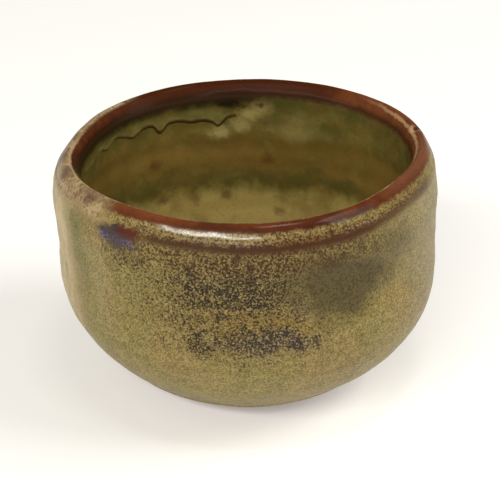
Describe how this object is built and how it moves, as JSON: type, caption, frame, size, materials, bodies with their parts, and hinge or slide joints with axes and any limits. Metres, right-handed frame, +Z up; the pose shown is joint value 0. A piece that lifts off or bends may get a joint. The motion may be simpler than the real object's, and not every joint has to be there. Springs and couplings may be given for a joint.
{
  "type": "matcha bowl",
  "caption": "Hand-formed stoneware tea bowl with a low foot ring, mottled olive glaze, iron-brown lip and a run overlap of glaze inside.",
  "frame": {"origin": "middle of the bowl on the plane its foot rests on", "axes": "+Z up through the mouth, -Y towards the bowl's front, +X to the right when looking at the front"},
  "size_m": [0.1194, 0.119, 0.0802],
  "materials": {
    "stoneware": "bare fired stoneware, fine sandy grain",
    "bare_clay": "bare fired stoneware, trimmed and worn smooth on the resting face",
    "olive_glaze": "satin olive glaze with fine iron speckle",
    "ochre_glaze": "satin ochre to olive glaze, clouded",
    "iron_glaze": "satin iron-brown glaze, mottled cream on one side",
    "grey_glaze": "satin grey-olive glaze, thicker along its run edge"
  },
  "bodies": {
    "root": {"stoneware_bowl": "stoneware", "foot_ring": "bare_clay", "outer_glaze": "olive_glaze", "inner_glaze": "ochre_glaze", "lip_glaze": "iron_glaze", "overlap_glaze": "grey_glaze"}
  },
  "joints": []
}
